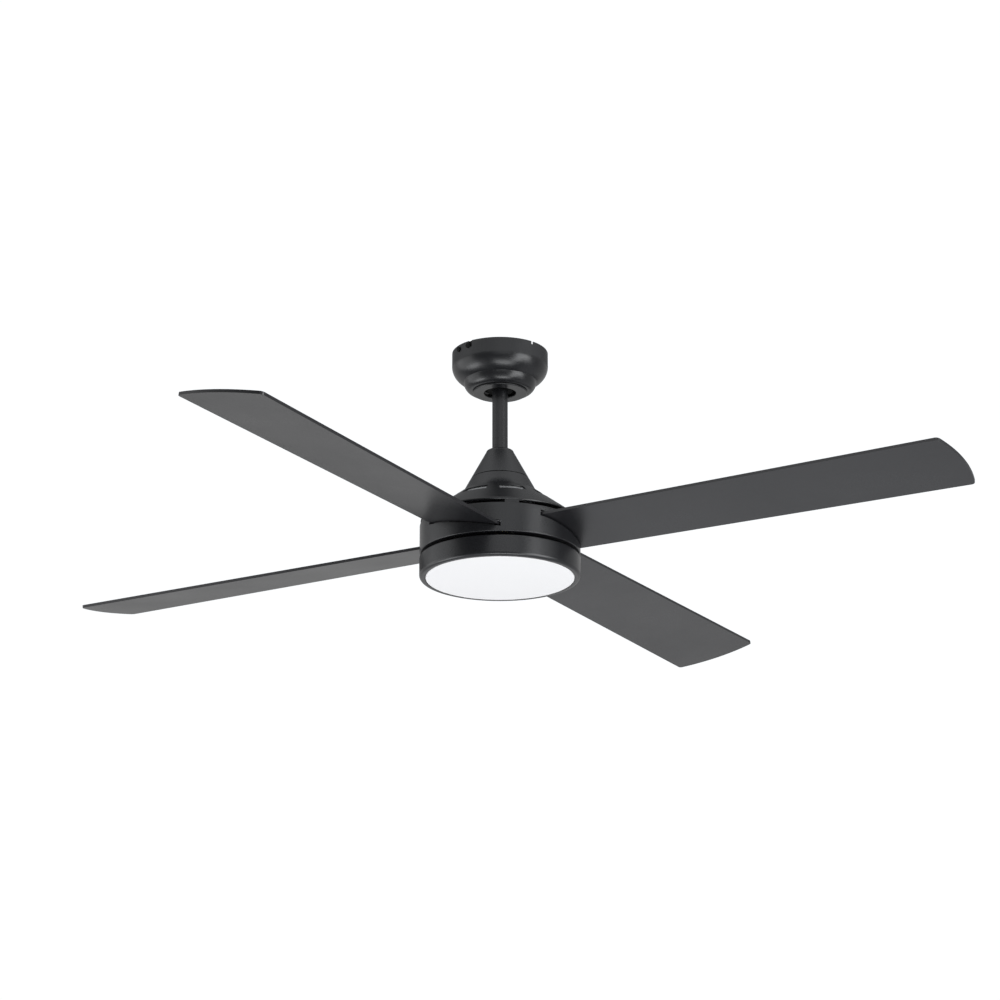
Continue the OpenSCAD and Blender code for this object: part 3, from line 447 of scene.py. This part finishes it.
# ---- Inside the light --------------------------------------------------------------------
# White lacquered board with yellow phosphor chips, fed by a driver in a white case.
dress(coat("white driver case", (0.76, 0.76, 0.73), 0.45), "led_driver")
dress(coat("white board lacquer", (0.82, 0.82, 0.80), 0.35), "led_board")
dress(coat("yellow phosphor", (0.80, 0.66, 0.20), 0.5), "led_chips")

# ---- Light pan ---------------------------------------------------------------------------
# Spun aluminium ring with a rounded lower edge, coated satin black.
light_r, light_top, light_foot = 107.6, -292.3, -320
top_round, foot_round, pan_sheet, pan_bore = 1.2, 4.6, 1.5, 16
lip_in, wall_in, lip_top = 99.8, 105.9, -313
turned(
    "light_pan",
    section((pan_bore, light_top),
            arc(light_r - top_round, light_top - top_round, top_round, top_round, 90, 0, 6),
            arc(light_r - foot_round, light_foot + foot_round, foot_round, foot_round,
                0, -90, 14),
            (lip_in, light_foot), (lip_in, lip_top), (wall_in, lip_top),
            (wall_in, light_top - pan_sheet), (pan_bore, light_top - pan_sheet),
            (pan_bore, light_top)),
    edge=0.3, body="pendant", node="light_pan", slot="black_metal", finish=satin_black,
)

# ---- Diffuser ----------------------------------------------------------------------------
# Opal acrylic dish, pressed into the ring by three bayonet tabs.
opal = coat("opal acrylic", (0.773, 0.768, 0.768), 0.38, fleck=0.01, peel=0.01)
dish_r, dish_top, dish_t, dish_round = 99.3, -309.5, 1.8, 0.8
turned(
    "diffuser",
    section((0, light_foot + dish_t), (dish_r - dish_t, light_foot + dish_t),
            (dish_r - dish_t, dish_top), (dish_r, dish_top), (dish_r, light_foot + dish_round),
            (dish_r - dish_round, light_foot), (60, light_foot), (0, light_foot)),
    edge=0.3, body="pendant", node="diffuser", slot="diffuser_white", finish=opal,
)

# ---- Room --------------------------------------------------------------------------------
# Pale floor, a soft white dome of light above a low grey wall, and large soft lamps that
# stand round the fan. The camera sees plain white behind it all.
def stage_mesh(name, points, finish):
    """Sheet of the room through a rows x columns array of points in metres, a face between
    every four neighbours. It is no part of the fan."""
    rows, columns, _ = points.shape
    index = np.arange(rows * columns).reshape(rows, columns)
    corners = [index[:-1, :-1], index[:-1, 1:], index[1:, 1:], index[1:, :-1]]
    mesh = bpy.data.meshes.new(name)
    mesh.from_pydata(points.reshape(-1, 3).tolist(), [],
                     np.stack(corners, axis=-1).reshape(-1, 4).tolist())
    mesh.materials.append(finish)
    sheet = bpy.data.objects.new(name, mesh)
    scene.collection.objects.link(sheet)
    return sheet


floor_z, wall_top, room_r, floor_half = -2.6, 1.45, 5.0, 60.0
camera_side, daylight = (0.5, -0.866, 0), (0.97, 0.985, 1)
side = np.array([-floor_half, floor_half])
grid_y, grid_x = np.meshgrid(side, side, indexing="ij")
stage_mesh("floor", np.stack([grid_x, grid_y, floor_z + 0 * grid_x], axis=-1),
           coat("pale floor", (0.58, 0.58, 0.59), 0.8, shine=0, grain=30, fleck=0.02))
wall_turn = np.linspace(0, 2 * np.pi, 73)
wall_z = np.array([[floor_z], [wall_top]])
grey = bpy.data.materials.new("grey wall light")
grey.use_nodes = True
glow = grey.node_tree.nodes.new("ShaderNodeEmission")
grey.node_tree.nodes.remove(grey.node_tree.nodes["Principled BSDF"])
grey.node_tree.links.new(glow.outputs[0], grey.node_tree.nodes["Material Output"].inputs[0])
across = grey.node_tree.nodes.new("ShaderNodeTexCoord")
toward = grey.node_tree.nodes.new("ShaderNodeVectorMath")
toward.operation = "DOT_PRODUCT"
toward.inputs[1].default_value = [part / room_r for part in camera_side]
fade = grey.node_tree.nodes.new("ShaderNodeMapRange")
fade.interpolation_type = "SMOOTHSTEP"
for key, value in (("From Min", -0.95), ("From Max", 0.4), ("To Min", 0.56), ("To Max", 0.08)):
    fade.inputs[key].default_value = value
grey.node_tree.links.new(across.outputs["Object"], toward.inputs[0])
grey.node_tree.links.new(toward.outputs["Value"], fade.inputs["Value"])
grey.node_tree.links.new(fade.outputs["Result"], glow.inputs["Strength"])
wall = stage_mesh(
    "low_wall",
    np.stack([room_r * np.cos(wall_turn) + 0 * wall_z, room_r * np.sin(wall_turn) + 0 * wall_z,
              wall_z + 0 * wall_turn], axis=-1), grey,
)
wall.visible_camera = wall.visible_shadow = wall.visible_diffuse = False

world = bpy.data.worlds.new("surround")
scene.world = world
world.use_nodes = True
sky, links = world.node_tree.nodes, world.node_tree.links
sky["Background"].inputs["Color"].default_value = (*daylight, 1)
ahead = sky.new("ShaderNodeVectorMath")
ahead.operation = "DOT_PRODUCT"
ahead.inputs[1].default_value = camera_side
dome = sky.new("ShaderNodeMapRange")
for key, value in (("From Min", -0.6), ("From Max", 0.15), ("To Min", 0.24), ("To Max", 1.05)):
    dome.inputs[key].default_value = value
pick = sky.new("ShaderNodeMix")
pick.inputs["B"].default_value = 1.05
links.new(sky.new("ShaderNodeTexCoord").outputs["Generated"], ahead.inputs[0])
links.new(ahead.outputs["Value"], dome.inputs["Value"])
links.new(sky.new("ShaderNodeLightPath").outputs["Is Camera Ray"], pick.inputs["Factor"])
links.new(dome.outputs["Result"], pick.inputs["A"])
links.new(pick.outputs["Result"], sky["Background"].inputs["Strength"])
scene.view_settings.view_transform = "Standard"


def soft_lamp(name, turn, tilt, away, size, radiance):
    """Rectangular lamp that faces the middle of the fan from away metres.

    It stands at turn degrees to the right of the camera, whose own azimuth is -60, and at
    tilt degrees above the level. Its power is radiance x pi x width x height."""
    fan_middle = np.array([0, 0, -0.3])
    a, e = np.radians(turn - 60), np.radians(tilt)
    out = np.array([np.cos(a) * np.cos(e), np.sin(a) * np.cos(e), np.sin(e)])
    data = bpy.data.lights.new(name, "AREA")
    data.shape = "RECTANGLE"
    data.size, data.size_y = size
    data.energy = radiance * np.pi * size[0] * size[1]
    data.color = daylight
    lamp = bpy.data.objects.new(name, data)
    right = np.cross([0, 0, 1], out)
    right /= np.linalg.norm(right)
    stand = np.eye(4)
    stand[:3, 0], stand[:3, 1], stand[:3, 2] = right, np.cross(out, right), out
    stand[:3, 3] = fan_middle + away * out
    lamp.matrix_world = Matrix(stand.tolist())
    scene.collection.objects.link(lamp)
    lamp.visible_camera = False


soft_lamp("left_lamp", -93, -8, 2.1, (2.1, 2.0), 1.35)
soft_lamp("low_left_lamp", -88, -41, 2.1, (1.1, 0.7), 4.2)
soft_lamp("right_lamp", 56, -12, 2.1, (1.35, 2.1), 5.2)
soft_lamp("front_lamp", 6, 12, 2.2, (1.5, 0.8), 0.7)
soft_lamp("low_lamp", 12, -57, 2.0, (1.5, 0.9), 3.9)
soft_lamp("back_lamp", 180, -31, 3.4, (2.6, 1.3), 0.32)
